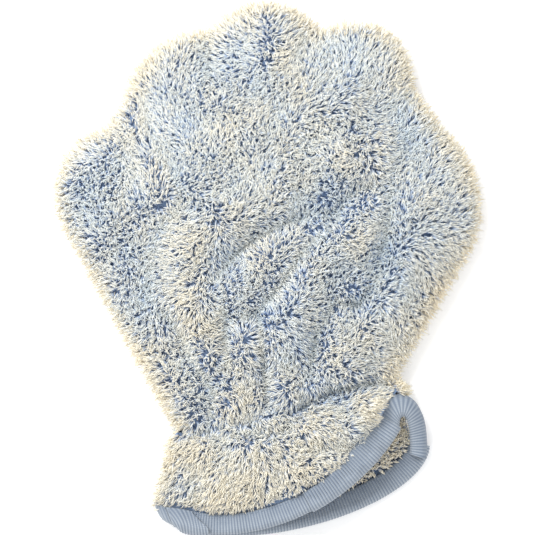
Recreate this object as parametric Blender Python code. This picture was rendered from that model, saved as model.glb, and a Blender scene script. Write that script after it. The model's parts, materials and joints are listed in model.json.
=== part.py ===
# Plush wash mitt lying on its back: two hand panels sewn round their edge, a gathered
# wrist with an elastic inside, and a short flared cuff whose mouth is bound with tape.
# Metres, +Z up, fingertips towards +Y, the mouth towards -Y.
import math

import bmesh
import bpy
from mathutils import Matrix, Vector

# Hand, measured from its centre, the middle of its widest line
HAND_WIDTH = 0.2235         # across the two side lobes
FINGER_REACH = 0.1115       # hand centre to the tip of the middle lobe
WRIST_REACH = 0.101         # hand centre to the wrist line, along the hand
WRIST_SHIFT = 0.009         # wrist centre sits this far to the right of the hand centre
WRIST_WIDTH = 0.118         # gathered wrist, lying flat
CUFF_TURN = math.radians(13.0)   # the cuff and its wrist line are turned this far

# Heights above the surface that the mitt lies on
SEAM_HEIGHT = 0.009         # perimeter seam
HAND_HEIGHT = 0.034         # top of the palm
WRIST_HEIGHT = 0.027        # top of the gathered wrist
DOME_REACH = 0.062          # how far in from the edge the palm goes on rising

# Plush fabric, cloth and pile together
PLUSH = 0.0080              # thickness of one panel
FLOOR_PLUSH = 0.0070        # the back panel, pressed by its own weight
RIM_RADIUS = 0.0080         # the panels' rounded edge
SEAM_INSET = 0.0070         # seam line, in from the outer edge
OVERLOCK_WIDTH = 0.0048
OVERLOCK_THICKNESS = 0.0024
THREAD = 0.0008             # sewing thread
STITCH_THREAD = 0.0005      # thread of the tape's topstitching

# Wrist elastic
ELASTIC_WIDTH = 0.006
ELASTIC_THICKNESS = 0.0012
ELASTIC_START = 0.0085      # from the wrist line to the elastic's near edge

# Cuff, in its own frame: across is along the wrist line, along points to the hand
MOUTH_WIDTH = 0.147         # half-ellipse that the mouth's lower edge follows
MOUTH_BOW = 0.029           # how far that half-ellipse bows out
CUFF_LENGTH = 0.062         # wrist line to the lowest point of the mouth
MOUTH_SHIFT = -0.005        # the half-ellipse sits this far left of the wrist centre
MOUTH_START = math.radians(200.0)   # left corner of the mouth, on the half-ellipse
MOUTH_END_GAP = 0.013       # wrist line to the right end of the mouth
FLAP_LIFT = 0.033           # the front edge draws back this far at its right end
MOUTH_GAPE = 0.015          # how far the front edge stands up in its middle

# Binding tape folded over the mouth's edge
TAPE_WIDTH = 0.0104         # visible width on each face
TAPE_THICKNESS = 0.0010
BOUND_PLUSH = 0.0030        # plush pressed flat inside the tape

# Clearances
GAP = 0.0003                # between pieces that touch
HINGE_GAP = 0.0008          # each side of the wrist line
THREAD_GAP = 0.0004         # round a thread
BEND = math.radians(45.0)   # the wrist bends this far up

# Lobes of the outline: direction, half width, how far each stands out of the palm
SIDE_LOBE = 0.0108
TOP_LOBE = 0.0103
LOBES = (
    (3.0, 26.0, SIDE_LOBE),
    (57.0, 17.0, 0.0137),
    (91.0, 17.0, TOP_LOBE),
    (122.0, 16.0, 0.0045),
    (147.0, 10.0, -0.0050),
    (172.0, 20.0, 0.0118),
)
SIDE_START = math.radians(8.0)   # the straight sides start this far below the side lobes

SLOT = OVERLOCK_THICKNESS / 2 + THREAD_GAP          # half height of the slot for the overlock
TAPE_HALF = BOUND_PLUSH / 2 + GAP + TAPE_THICKNESS   # half thickness of the folded tape
LAND = TAPE_WIDTH + 0.0005                           # pressed edge, just past the tape
CAP_RADIUS = 0.014                                   # smallest ring of a hand panel
STEP_WIDTH = 0.0006                                  # slope from the seam into its slot


def lerp(a, b, share):
    return a + (b - a) * share


def ease(share):
    share = min(max(share, 0.0), 1.0)
    return share * share * (3.0 - 2.0 * share)


def wrist_frame():
    return Matrix.Translation((WRIST_SHIFT, -WRIST_REACH, 0.0)) @ Matrix.Rotation(CUFF_TURN, 4, "Z")


WRIST = wrist_frame()
WRIST_INVERSE = WRIST.inverted()


def at_wrist(across, along, height):
    return WRIST @ Vector((across, along, height))


def relief(height):
    # How far a piece stays back from the wrist line, so that the joint can bend up
    return HINGE_GAP + max(height - SEAM_HEIGHT, 0.0) * math.tan(BEND / 2)


# Outline of the hand

def hand_outline(angle):
    stand_out = 0.0
    for direction, half_width, height in LOBES:
        share = (math.degrees(angle) - direction) / half_width
        if abs(share) < 1.0:
            stand_out += height * math.cos(share * math.pi / 2)
    across = HAND_WIDTH / 2 - SIDE_LOBE + stand_out
    along = FINGER_REACH - TOP_LOBE + stand_out
    return Vector((across * math.cos(angle), along * math.sin(angle), 0.0))


SIDE_TOPS = (hand_outline(-SIDE_START), hand_outline(math.pi + SIDE_START))
CORNER_BACK = 0.0025        # the seam's ends stay this far from the wrist line
CORNERS = tuple(at_wrist(side * WRIST_WIDTH / 2, CORNER_BACK, 0.0) for side in (1.0, -1.0))


def side_clearance(point):
    # Distance from a point to the nearer straight side
    nearest = 1.0
    for top, corner, sign in zip(SIDE_TOPS, CORNERS, (1.0, -1.0)):
        run = (corner - top).normalized()
        away = point - top
        nearest = min(nearest, sign * (run.x * away.y - run.y * away.x) * -1.0)
    return max(nearest, 0.0)


def finger_line(steps=44):
    # The lobed outline, from the top of the right side round to the top of the left side
    first, last = -SIDE_START, math.pi + SIDE_START
    return [hand_outline(lerp(first, last, i / steps)) for i in range(steps + 1)]


def side_line(side, steps=9):
    # A straight side, from its top down to the wrist
    return [SIDE_TOPS[side].lerp(CORNERS[side], i / steps) for i in range(steps + 1)]


def hand_stations(wrist_steps=12):
    # (outline point, distance across the wrist or None) once round the hand
    stations = [(point, None) for point in finger_line() + side_line(1)[1:]]
    for i in range(1, wrist_steps):
        across = lerp(-WRIST_WIDTH / 2, WRIST_WIDTH / 2, i / wrist_steps)
        stations.append((at_wrist(across, 0.0, 0.0), across))
    return stations + [(point, None) for point in side_line(0)[:0:-1]]


def palm_rise(point, inset):
    # Height of the palm over the seam beyond the rounded rim
    along = (WRIST_INVERSE @ point).y
    top = lerp(WRIST_HEIGHT, HAND_HEIGHT, ease(along / 0.075)) - SEAM_HEIGHT - PLUSH
    share = min(min(inset, side_clearance(point)) / DOME_REACH, 1.0)
    return top * (1.0 - (1.0 - share) ** 1.5)


def rim(inset, point=None):
    # Quarter round of the edge, 0 at the seam to 1 where the face begins
    if point is not None:
        inset = min(inset, side_clearance(point))
    share = min(inset / RIM_RADIUS, 1.0)
    return math.sqrt(1.0 - (1.0 - share) ** 2)


def front_outer(point, inset):
    return SEAM_HEIGHT + PLUSH * rim(inset, point) + palm_rise(point, inset)


def front_inner(point, inset):
    return SEAM_HEIGHT + max(palm_rise(point, inset), SLOT)


# Mesh helpers

def material(name, colour, roughness):
    made = bpy.data.materials.new(name)
    made.use_nodes = True
    shader = made.node_tree.nodes["Principled BSDF"]
    shader.inputs["Base Color"].default_value = (*colour, 1.0)
    shader.inputs["Roughness"].default_value = roughness
    shader.inputs["Metallic"].default_value = 0.0
    return made


def ring_pairs(verts):
    return zip(verts, verts[1:] + verts[:1])


def first_ring(bm, points):
    verts = [bm.verts.new(p) for p in points]
    for pair in ring_pairs(verts):
        bm.edges.new(pair)
    return verts


def extrude_ring(bm, verts, points):
    # Extrudes the last ring and moves each new vertex to its own point
    edges = [bm.edges.get(pair) for pair in ring_pairs(verts)]
    grown = bmesh.ops.extrude_edge_only(bm, edges=edges)["geom"]
    new = {item for item in grown if isinstance(item, bmesh.types.BMVert)}
    moved = []
    for old, point in zip(verts, points):
        partner = next(e.other_vert(old) for e in old.link_edges if e.other_vert(old) in new)
        partner.co = point
        moved.append(partner)
    return moved


def finish_mesh(name, bm, look, parent):
    bmesh.ops.recalc_face_normals(bm, faces=bm.faces)
    mesh = bpy.data.meshes.new(name)
    bm.to_mesh(mesh)
    bm.free()
    mesh.materials.append(look)
    mesh.shade_smooth()
    mesh.set_sharp_from_angle(angle=math.radians(40.0))
    piece = bpy.data.objects.new(name, mesh)
    bpy.context.collection.objects.link(piece)
    piece.parent = parent
    piece.matrix_parent_inverse = Matrix.Identity(4)
    return piece


def loft(name, rings, look, parent, loop=False):
    # Closed rings extruded one into the next; a loop's last ring joins its first one
    bm = bmesh.new()
    verts = first_ring(bm, rings[0])
    start = verts
    if not loop:
        bm.faces.new(verts)
    for ring in rings[1:]:
        verts = extrude_ring(bm, verts, ring)
    if loop:
        edges = []
        for ring in (start, verts):
            edges += [bm.edges.get(pair) for pair in ring_pairs(ring)]
        bmesh.ops.bridge_loops(bm, edges=edges)
    else:
        bm.faces.new(verts)
    return finish_mesh(name, bm, look, parent)


def shift_all(rings, offset):
    return [[Vector(p) - offset for p in ring] for ring in rings]


def thread_rings(path, diameter, sides=6, loop=False):
    # Round rings square to a path, for a thread
    rings = []
    count = len(path)
    for i, centre in enumerate(path):
        before = path[i - 1] if loop or i > 0 else path[i]
        after = path[(i + 1) % count] if loop or i < count - 1 else path[i]
        run = (after - before).normalized()
        side = run.cross(Vector((0.0, 0.0, 1.0))).normalized()
        up = side.cross(run).normalized()
        ring = []
        for k in range(sides):
            turn = 2.0 * math.pi * k / sides
            ring.append(centre + (side * math.cos(turn) + up * math.sin(turn)) * diameter / 2)
        rings.append(ring)
    return rings


# Hand pieces

def panel_ring(inset, share, height, wrist_inset, wrist_height):
    # One ring of a hand panel. Inset is measured in from the edge, and share goes on from
    # there to the centre. The wrist stations have their own inset and height.
    ring = []
    for point, across in hand_stations():
        if across is None:
            length = point.length - CAP_RADIUS
            place = point.normalized() * (CAP_RADIUS + (length - inset) * (1.0 - share))
            level = height(place, point.length - place.length)
        else:
            start = at_wrist(across, wrist_inset(point), 0.0)
            length = start.length - CAP_RADIUS
            place = start.normalized() * (CAP_RADIUS + length * (1.0 - share))
            level = wrist_height(place, 1.0)
        ring.append(Vector((place.x, place.y, level)))
    return ring


FACE_SHARES = (0.12, 0.26, 0.42, 0.60, 0.80, 1.0)


def hand_panel(name, outer, inner, seam_face, edge_back, look, parent):
    # Rings from the middle of the outer face, over the rim or the wrist end, to the middle
    # of the inner face
    slot_start = SEAM_INSET + STEP_WIDTH
    slot_end = SEAM_INSET + THREAD + OVERLOCK_WIDTH + 4 * THREAD_GAP

    def outer_back(point):
        return edge_back(outer(point, 1.0))

    def inner_back(extra):
        return lambda point: edge_back(inner(point, 1.0)) + extra

    def flat(place, inset):
        return seam_face

    rings = []
    for share in reversed(FACE_SHARES):
        rings.append(panel_ring(RIM_RADIUS, share, outer, lambda p: outer_back(p) + 0.008, outer))
    for inset in (0.0080, 0.0040, 0.0012):
        rings.append(panel_ring(inset, 0.0, outer, lambda p, i=inset: outer_back(p) + i, outer))
    rings.append(panel_ring(0.0, 0.0, flat, outer_back, outer))
    rings.append(panel_ring(SEAM_INSET, 0.0, flat, inner_back(0.0), inner))
    rings.append(panel_ring(slot_start, 0.0, inner, inner_back(0.004), inner))
    rings.append(panel_ring(slot_end, 0.0, inner, inner_back(0.010), inner))
    for share in FACE_SHARES:
        rings.append(panel_ring(slot_end, share, inner, inner_back(0.010), inner))
    return loft(name, rings, look, parent)


def make_hand(looks, parent):
    def back_outer(point, inset):
        return SEAM_HEIGHT - SEAM_HEIGHT * rim(inset, point)

    def back_inner(point, inset):
        return FLOOR_PLUSH

    hand_panel("front_panel", front_outer, front_inner, SEAM_HEIGHT + GAP / 2, relief,
               looks["front_panel"], parent)
    hand_panel("back_panel", back_outer, back_inner, SEAM_HEIGHT - GAP / 2, relief,
               looks["back_panel"], parent)

    # Up the right side, round the fingers and down the left side, clear of both corners
    perimeter = (side_line(0)[:0:-1] + finger_line() + side_line(1)[1:])[1:-1]
    seam = SEAM_INSET + STEP_WIDTH + THREAD_GAP + THREAD / 2
    path = [inset_point(p, seam, SEAM_HEIGHT) for p in perimeter]
    loft("perimeter_seam_thread", thread_rings(path, THREAD), looks["thread"], parent)

    near = seam + THREAD / 2 + THREAD_GAP
    half = OVERLOCK_THICKNESS / 2
    rings = []
    for point in perimeter:
        rings.append([
            inset_point(point, near, SEAM_HEIGHT - half),
            inset_point(point, near, SEAM_HEIGHT + half),
            inset_point(point, near + OVERLOCK_WIDTH, SEAM_HEIGHT + half),
            inset_point(point, near + OVERLOCK_WIDTH, SEAM_HEIGHT - half),
        ])
    loft("perimeter_overlock", rings, looks["overlock"], parent)


def inset_point(point, inset, height):
    place = point - point.normalized() * inset
    return Vector((place.x, place.y, height))


def elastic_path(inner_offset):
    # Centre line of the elastic round the inside of the wrist, in across and height
    reach = WRIST_WIDTH / 2 - SEAM_INSET - OVERLOCK_WIDTH - 0.009
    steps = 18
    low = FLOOR_PLUSH + 0.0004 + ELASTIC_THICKNESS / 2 + inner_offset
    path = []
    for i in range(steps + 1):
        across = lerp(-reach, reach, i / steps)
        path.append((across * (1.0 - inner_offset / reach), low))
    for i in range(steps + 1):
        across = lerp(reach, -reach, i / steps)
        top = front_inner(at_wrist(across, ELASTIC_START, 0.0), 1.0)
        level = top - 0.0008 - ELASTIC_THICKNESS / 2 - inner_offset
        path.append((across * (1.0 - inner_offset / reach), level))
    return path


def make_elastic(looks, parent):
    half = ELASTIC_THICKNESS / 2
    outer = elastic_path(-half)
    inner = elastic_path(half)
    far = ELASTIC_START + ELASTIC_WIDTH
    rings = []
    for (a, b), (c, d) in zip(outer, inner):
        rings.append([
            at_wrist(a, ELASTIC_START, b), at_wrist(a, far, b),
            at_wrist(c, far, d), at_wrist(c, ELASTIC_START, d),
        ])
    loft("wrist_elastic", rings, looks["elastic"], parent, loop=True)

    line = elastic_path(half + THREAD_GAP + THREAD / 2)
    middle = ELASTIC_START + ELASTIC_WIDTH / 2
    zig = ELASTIC_WIDTH / 2 - 0.0012
    path = []
    for i, (across, height) in enumerate(line):
        path.append(at_wrist(across, middle + (zig if i % 2 else -zig), height))
    loft("elastic_stitching", thread_rings(path, THREAD, sides=4, loop=True),
         looks["elastic_thread"], parent, loop=True)


# Cuff pieces. A line runs from the mouth's edge, square under the tape, to the wrist.

def mouth_back():
    # The lower edge of the mouth, then up its right-hand end, with heights of the tape's middle
    half = MOUTH_WIDTH / 2
    base = -(CUFF_LENGTH - MOUTH_BOW)
    points = []
    steps = 40
    for i in range(steps + 1):
        turn = lerp(MOUTH_START, 2.0 * math.pi, i / steps)
        across = MOUTH_SHIFT + half * math.cos(turn)
        points.append(Vector((across, base + MOUTH_BOW * math.sin(turn), TAPE_HALF)))
    top = Vector((MOUTH_SHIFT + half - 0.0015, -MOUTH_END_GAP, TAPE_HALF + 0.0032))
    start = points[-1]
    for i in range(1, 9):
        share = i / 8
        step = start.lerp(top, share)
        points.append(Vector((step.x, step.y, lerp(start.z, top.z, ease(share)))))
    return points


def mouth_front():
    # The upper edge, which draws back and stands up towards its right-hand end
    half = MOUTH_WIDTH / 2
    base = -(CUFF_LENGTH - MOUTH_BOW)
    left = 3 * TAPE_HALF + 0.0015
    end = mouth_back()[-1]
    right = end.z + 2 * TAPE_HALF + 0.0015
    first, last = math.cos(MOUTH_START), 0.93
    points = []
    steps = 44
    for i in range(steps):
        share = i / (steps - 1)
        place = lerp(first, last, share)
        lift = FLAP_LIFT * ((1.0 + place) / 2) ** 1.9 * (share ** 0.5)
        along = base - MOUTH_BOW * math.sqrt(1.0 - place * place) + lift
        height = lerp(left, right, share) + MOUTH_GAPE * math.sin(math.pi * share ** 1.5)
        points.append(Vector((MOUTH_SHIFT + half * place, along, height)))
    points.append(Vector((end.x, end.y, right)))
    return points


def along_path(points, share):
    lengths = [(b.xy - a.xy).length for a, b in zip(points, points[1:])]
    left = share * sum(lengths)
    for a, b, length in zip(points, points[1:], lengths):
        if left <= length:
            return a.lerp(b, left / length)
        left -= length
    return points[-1].copy()


def cuff_line(points, share):
    # The mouth's edge, the unit direction inwards and the wrist end of one line
    edge = along_path(points, share)
    before = along_path(points, max(share - 0.012, 0.0))
    after = along_path(points, min(share + 0.012, 1.0))
    run = (after.xy - before.xy).normalized()
    inward = Vector((-run.y, run.x))
    across = lerp(-WRIST_WIDTH / 2, WRIST_WIDTH / 2, share)
    left_side = Vector((-0.35, 0.94)).normalized()
    right_side = (Vector((WRIST_WIDTH / 2, 0.0)) - points[-1].xy).normalized()
    inward = left_side.lerp(inward, ease(share / 0.10)).normalized()
    inward = inward.lerp(right_side, ease((share - 0.90) / 0.10)).normalized()
    return edge, inward, across


ACROSS_SHARES = (0.0, 0.018, 0.045, 0.062, 0.068, 0.10, 0.15, 0.21, 0.28, 0.35, 0.42, 0.50,
                 0.58, 0.65, 0.72, 0.79, 0.85, 0.90, 0.932, 0.938, 0.955, 0.982, 1.0)
EDGE_STEPS = (BOUND_PLUSH / 10 + TAPE_THICKNESS + GAP / 3, 0.0055, LAND)
BODY_SHARES = (0.2, 0.4, 0.6, 0.8, 1.0)


def rim_share(share):
    # 0 at the side seams, 1 on the faces
    inset = min(share, 1.0 - share) * WRIST_WIDTH
    return rim(inset)


def in_seam(share):
    return min(share, 1.0 - share) * WRIST_WIDTH < SEAM_INSET + 0.0004


def cuff_levels(side, share, across, height):
    # (outer, inner) heights at the tape and at the wrist
    point = at_wrist(across, 0.0, 0.0)
    half = BOUND_PLUSH / 2
    if side == "front":
        top = SEAM_HEIGHT + BOUND_PLUSH + (PLUSH - BOUND_PLUSH) * rim_share(share)
        outer = top + palm_rise(point, 1.0) * rim_share(share)
        inner = SEAM_HEIGHT + GAP / 2
        if not in_seam(share):
            inner = front_inner(point, 1.0)
        return (height + half, outer), (height - half, inner)
    outer = (SEAM_HEIGHT - BOUND_PLUSH) * (1.0 - rim_share(share))
    inner = SEAM_HEIGHT - GAP / 2 if in_seam(share) else FLOOR_PLUSH
    return (height - half, outer), (height + half, inner)


def cuff_rows(side, points):
    # Two rows of points for each line: along the outer face and along the inner face
    rows = []
    for share in ACROSS_SHARES:
        edge, inward, across = cuff_line(points, share)
        outer_ends, inner_ends = cuff_levels(side, share, across, edge.z)
        row = []
        for mouth, wrist in (outer_ends, inner_ends):
            line = []
            for step in EDGE_STEPS:
                place = edge.xy + inward * step
                line.append(at_wrist(place.x, place.y, mouth))
            start = edge.xy + inward * LAND
            end = Vector((across, -relief(wrist)))
            for body in BODY_SHARES:
                place = start.lerp(end, body)
                level = lerp(mouth, wrist, ease(body))
                line.append(at_wrist(place.x, place.y, level))
            row.append(line)
        rows.append(row)
    return rows


def cuff_shell(name, side, points, look, parent, origin):
    rings = []
    for outer, inner in cuff_rows(side, points):
        rings.append(outer + inner[::-1])
    return loft(name, shift_all(rings, origin), look, parent)


def tape(name, points, look, parent, origin):
    # The tape folded over the edge: its section is a U that is open towards the wrist
    slot = BOUND_PLUSH / 2 + GAP
    round_off = TAPE_THICKNESS
    section = (
        (TAPE_WIDTH, TAPE_HALF), (round_off, TAPE_HALF), (0.0, TAPE_HALF - round_off),
        (0.0, round_off - TAPE_HALF), (round_off, -TAPE_HALF), (TAPE_WIDTH, -TAPE_HALF),
        (TAPE_WIDTH, -slot), (TAPE_THICKNESS, -slot), (TAPE_THICKNESS, slot), (TAPE_WIDTH, slot),
    )
    rings = []
    for share in ACROSS_SHARES:
        edge, inward, across = cuff_line(points, share)
        ring = []
        for step, height in section:
            place = edge.xy + inward * step
            ring.append(at_wrist(place.x, place.y, edge.z + height))
        rings.append(ring)
    return loft(name, shift_all(rings, origin), look, parent)


def tape_stitching(name, points, look, parent, origin):
    # A topstitch thread along the tape's upper face, near its inner edge
    path = []
    for share in ACROSS_SHARES[1:-1]:
        edge, inward, across = cuff_line(points, share)
        place = edge.xy + inward * (TAPE_WIDTH - 0.0018)
        height = edge.z + TAPE_HALF + GAP + STITCH_THREAD / 2
        path.append(at_wrist(place.x, place.y, height) - origin)
    return loft(name, thread_rings(path, STITCH_THREAD), look, parent)


def cuff_seam(name, share, look, parent, origin):
    # Thread of a side seam, in the fold between the front and back of the cuff
    path = []
    back = cuff_line(mouth_back(), share)
    front = cuff_line(mouth_front(), share)
    across = back[2]
    start = (back[0].xy + back[1] * LAND).lerp(front[0].xy + front[1] * LAND, 0.5)
    end = Vector((across, -relief(SEAM_HEIGHT) - 0.001))
    mouth = (back[0].z + front[0].z) / 2
    for i in range(7):
        body = lerp(0.3, 1.0, i / 6)
        place = start.lerp(end, body)
        level = lerp(mouth, SEAM_HEIGHT, ease(body))
        path.append(at_wrist(place.x, place.y, level) - origin)
    return loft(name, thread_rings(path, THREAD), look, parent)


def make_cuff(looks, bend, bend_at, flap, flap_at):
    back, front = mouth_back(), mouth_front()
    cuff_shell("back_cuff", "back", back, looks["back_cuff"], bend, bend_at)
    tape("back_binding", back, looks["back_binding"], bend, bend_at)
    tape_stitching("back_binding_stitching", back, looks["back_stitching"], bend, bend_at)
    cuff_seam("left_cuff_seam_thread", 0.085, looks["left_seam"], bend, bend_at)
    cuff_seam("right_cuff_seam_thread", 0.915, looks["right_seam"], bend, bend_at)
    cuff_shell("front_cuff", "front", front, looks["front_cuff"], flap, flap_at)
    tape("front_binding", front, looks["front_binding"], flap, flap_at)
    tape_stitching("front_binding_stitching", front, looks["front_stitching"], flap, flap_at)


def empty(name, place, parent):
    made = bpy.data.objects.new(name, None)
    bpy.context.collection.objects.link(made)
    made.parent = parent
    made.matrix_parent_inverse = Matrix.Identity(4)
    made.location = place
    return made


def stand_on_origin(root):
    # Puts the origin under the middle of the whole mitt
    bpy.context.view_layer.update()
    points = []
    for piece in bpy.data.objects:
        if piece.type == "MESH":
            points += [piece.matrix_world @ v.co for v in piece.data.vertices]
    low = [min(p[i] for p in points) for i in range(3)]
    high = [max(p[i] for p in points) for i in range(3)]
    root.location = (-(low[0] + high[0]) / 2, -(low[1] + high[1]) / 2, -low[2])


def main():
    for piece in list(bpy.data.objects):
        bpy.data.objects.remove(piece)

    plush, tape_colour, white = (0.53, 0.54, 0.51), (0.38, 0.42, 0.45), (0.78, 0.78, 0.76)
    looks = {
        "front_panel": material("front_plush", plush, 0.9),
        "back_panel": material("back_plush", plush, 0.9),
        "front_cuff": material("front_cuff_plush", plush, 0.9),
        "back_cuff": material("back_cuff_plush", plush, 0.9),
        "front_binding": material("front_tape", tape_colour, 0.8),
        "back_binding": material("back_tape", tape_colour, 0.8),
        "thread": material("seam_thread", white, 0.7),
        "overlock": material("overlock_thread", white, 0.8),
        "elastic": material("elastic_band", white, 0.7),
        "elastic_thread": material("elastic_thread", white, 0.7),
        "front_stitching": material("front_stitching", tape_colour, 0.7),
        "back_stitching": material("back_stitching", tape_colour, 0.7),
        "left_seam": material("left_seam_thread", white, 0.7),
        "right_seam": material("right_seam_thread", white, 0.7),
    }
    root = empty("mitt", (0.0, 0.0, 0.0), None)
    bend_at = at_wrist(0.0, 0.0, SEAM_HEIGHT)
    bend = empty("wrist_bend_axis", bend_at, root)
    flap_at = at_wrist(0.0, -HINGE_GAP, WRIST_HEIGHT)
    flap = empty("mouth_open_axis", flap_at - bend_at, bend)

    make_hand(looks, root)
    make_elastic(looks, root)
    make_cuff(looks, bend, bend_at, flap, flap_at)
    stand_on_origin(root)


main()
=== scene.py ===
import json
import math

import bmesh
import bpy
import numpy as np
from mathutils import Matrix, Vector


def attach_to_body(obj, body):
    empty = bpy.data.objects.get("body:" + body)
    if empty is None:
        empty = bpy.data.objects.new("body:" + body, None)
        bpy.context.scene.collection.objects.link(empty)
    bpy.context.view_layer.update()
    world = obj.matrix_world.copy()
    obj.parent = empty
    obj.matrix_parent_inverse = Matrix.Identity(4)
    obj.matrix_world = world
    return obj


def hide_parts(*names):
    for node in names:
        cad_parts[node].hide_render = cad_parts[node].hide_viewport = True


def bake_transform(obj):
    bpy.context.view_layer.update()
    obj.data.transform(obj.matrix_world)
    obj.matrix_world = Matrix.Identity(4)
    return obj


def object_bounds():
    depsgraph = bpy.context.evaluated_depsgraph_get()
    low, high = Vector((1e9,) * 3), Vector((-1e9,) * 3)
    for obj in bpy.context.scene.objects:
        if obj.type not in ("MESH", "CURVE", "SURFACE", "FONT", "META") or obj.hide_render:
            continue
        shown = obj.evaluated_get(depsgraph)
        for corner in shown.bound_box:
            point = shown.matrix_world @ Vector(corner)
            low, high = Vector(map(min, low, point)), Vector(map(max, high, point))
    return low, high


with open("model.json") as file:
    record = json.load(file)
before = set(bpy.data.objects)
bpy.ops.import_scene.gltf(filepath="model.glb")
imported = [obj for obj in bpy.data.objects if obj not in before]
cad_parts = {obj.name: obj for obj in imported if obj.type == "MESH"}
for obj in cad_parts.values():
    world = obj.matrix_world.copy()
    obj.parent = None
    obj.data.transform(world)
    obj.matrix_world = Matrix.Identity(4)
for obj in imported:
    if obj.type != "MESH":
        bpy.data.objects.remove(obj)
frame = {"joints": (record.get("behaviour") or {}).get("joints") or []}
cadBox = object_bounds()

# Plush wash mitt lying on its back: fingertips towards +Y, the bound mouth towards -Y.
# Every length is in metres. The plan of the mitt is worked out from its wrist joint.
mitt = {
    "width": 0.2235,            # across the two side lobes
    "fingerReach": 0.1115,      # middle of the hand to the tip of the middle lobe
    "wristReach": 0.101,        # middle of the hand to the wrist line
    "wristShift": 0.009,        # the wrist sits this far to the right of the hand
    "wristWidth": 0.118,
    "cuffTurn": math.radians(13.0),
    "seamHeight": 0.009,
    "sideLobe": 0.0108,
    "topLobe": 0.0103,
    "sideStart": 8.0,           # degrees below the side lobes where the straight sides begin
    "wristTop": 0.027,          # highest fur at the wrist
    "palmTop": 0.034,           # highest fur on the palm
    "domeReach": 0.062,         # the palm goes on rising this far in from the edge
    "pile": 0.0068,             # depth of the fur that stands on the cloth
    "clothInset": 0.0062,       # the cloth stops this far inside the tips of the fringe
    "rimRound": 0.0060,         # radius of the cloth's rounded edge
    "rimRise": 0.008,           # the fur's height over the seam once past that edge
    "floorCloth": 0.0048,       # height of the back cloth, on fur pressed by the mitt's weight
}
lobes = (  # direction in degrees, half width in degrees, how far the lobe stands out
    (3.0, 26.0, mitt["sideLobe"]),
    (57.0, 17.0, 0.0137),
    (91.0, 17.0, mitt["topLobe"]),
    (122.0, 16.0, 0.0045),
    (147.0, 10.0, -0.0050),
    (172.0, 20.0, 0.0118),
)
cuff = {
    "length": 0.062,            # wrist line to the lowest point of the mouth
    "mouthWidth": 0.147,
    "mouthBow": 0.029,
    "mouthShift": -0.005,
    "mouthStart": 200.0,        # degrees round the half-ellipse of the mouth
    "endGap": 0.013,            # wrist line to the right end of the mouth
    "endInset": 0.0015,
    "endRise": 0.0032,
    "flapLift": 0.033,          # the front edge draws back this far at its right
    "flapGape": 0.015,          # and stands up this far in its middle
    "flapEnd": 0.93,            # how far round its curve the front edge goes before its end
    "tapeWidth": 0.0104,
    "tapeHalf": 0.0028,         # half the thickness of the folded tape
}
bendAt = np.array(frame["joints"][0]["pos_m"])
handMiddle = bendAt[:2] + (-mitt["wristShift"], mitt["wristReach"])
alongHand = np.array((-math.sin(mitt["cuffTurn"]), math.cos(mitt["cuffTurn"])))
acrossHand = np.array((alongHand[1], -alongHand[0]))
random = np.random.default_rng(11)


def lerp(a, b, share):
    return a + (b - a) * share


def ease(share):
    share = np.clip(share, 0.0, 1.0)
    return share * share * (3.0 - 2.0 * share)


def unit(vectors):
    return vectors / np.maximum(np.linalg.norm(vectors, axis=-1, keepdims=True), 1e-9)


def heading(angle):
    return np.stack((np.cos(angle), np.sin(angle)), axis=-1)


def laidFlat(plan):
    return np.column_stack((plan, np.zeros(len(plan))))


def lengthsAlong(line):
    return np.concatenate(((0.0,), np.cumsum(np.linalg.norm(np.diff(line, axis=0), axis=1))))


def readAt(places, known, rows):
    # The rows of a table, read between them
    return np.stack([np.interp(places, known, column) for column in rows.T], axis=-1)


def fromWrist(across, along):
    return bendAt[:2] + np.multiply.outer(across, acrossHand) + np.multiply.outer(along, alongHand)


def toWrist(points):
    away = points - bendAt[:2]
    return away @ acrossHand, away @ alongHand


# Plan of the hand
def handOutline(degrees):
    standOut = np.zeros_like(degrees)
    for direction, halfWidth, height in lobes:
        share = (degrees - direction) / halfWidth
        standOut += np.where(np.abs(share) < 1.0, height * np.cos(share * np.pi / 2), 0.0)
    across = mitt["width"] / 2 - mitt["sideLobe"] + standOut
    along = mitt["fingerReach"] - mitt["topLobe"] + standOut
    turn = np.radians(degrees)
    return handMiddle + np.stack((across * np.cos(turn), along * np.sin(turn)), axis=-1)


def straight(a, b, steps):
    return a + np.multiply.outer(np.linspace(0.0, 1.0, steps), b - a)


fingers = handOutline(np.linspace(-mitt["sideStart"], 180.0 + mitt["sideStart"], 420))
rightCorner = fromWrist(mitt["wristWidth"] / 2, 0.0)
leftCorner = fromWrist(-mitt["wristWidth"] / 2, 0.0)
handEdge = np.concatenate((
    straight(rightCorner, fingers[0], 110)[:-1], fingers, straight(fingers[-1], leftCorner, 110)[1:],
))


def nearestOn(line, points):
    # Distance from each point to a line of close points, and the unit direction towards it
    distance = np.empty(len(points))
    towards = np.empty((len(points), 2))
    for start in range(0, len(points), 4000):
        part = points[start:start + 4000]
        gaps = line[None, :, :] - part[:, None, :]
        squares = (gaps ** 2).sum(axis=2)
        best = squares.argmin(axis=1)
        distance[start:start + 4000] = np.sqrt(squares[np.arange(len(part)), best])
        towards[start:start + 4000] = gaps[np.arange(len(part)), best]
    return distance, unit(towards)


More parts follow.
